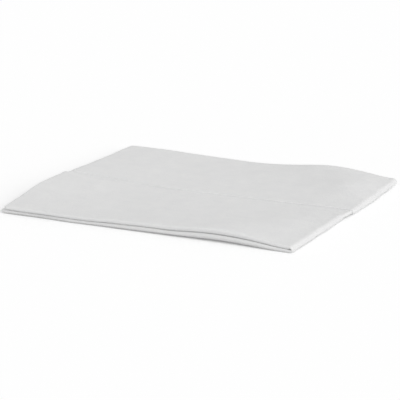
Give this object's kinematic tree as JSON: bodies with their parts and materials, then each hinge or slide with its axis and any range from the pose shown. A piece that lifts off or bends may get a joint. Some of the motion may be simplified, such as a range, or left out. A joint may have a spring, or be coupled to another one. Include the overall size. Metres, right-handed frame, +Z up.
{
  "type": "nonwoven wipe",
  "caption": "Thin white cloth wipe, its side edges folded in to a centre seam and the band folded in half.",
  "frame": {"origin": "under the middle of the folded wipe, on the surface that it lies on", "axes": "+X along the wipe towards the cross fold, +Y across it, +Z up"},
  "size_m": [0.1756, 0.1536, 0.0035],
  "materials": {
    "cloth": "matte, soft, fine fibres"
  },
  "bodies": {
    "root": {"nonwoven_wipe": "cloth"}
  },
  "joints": []
}
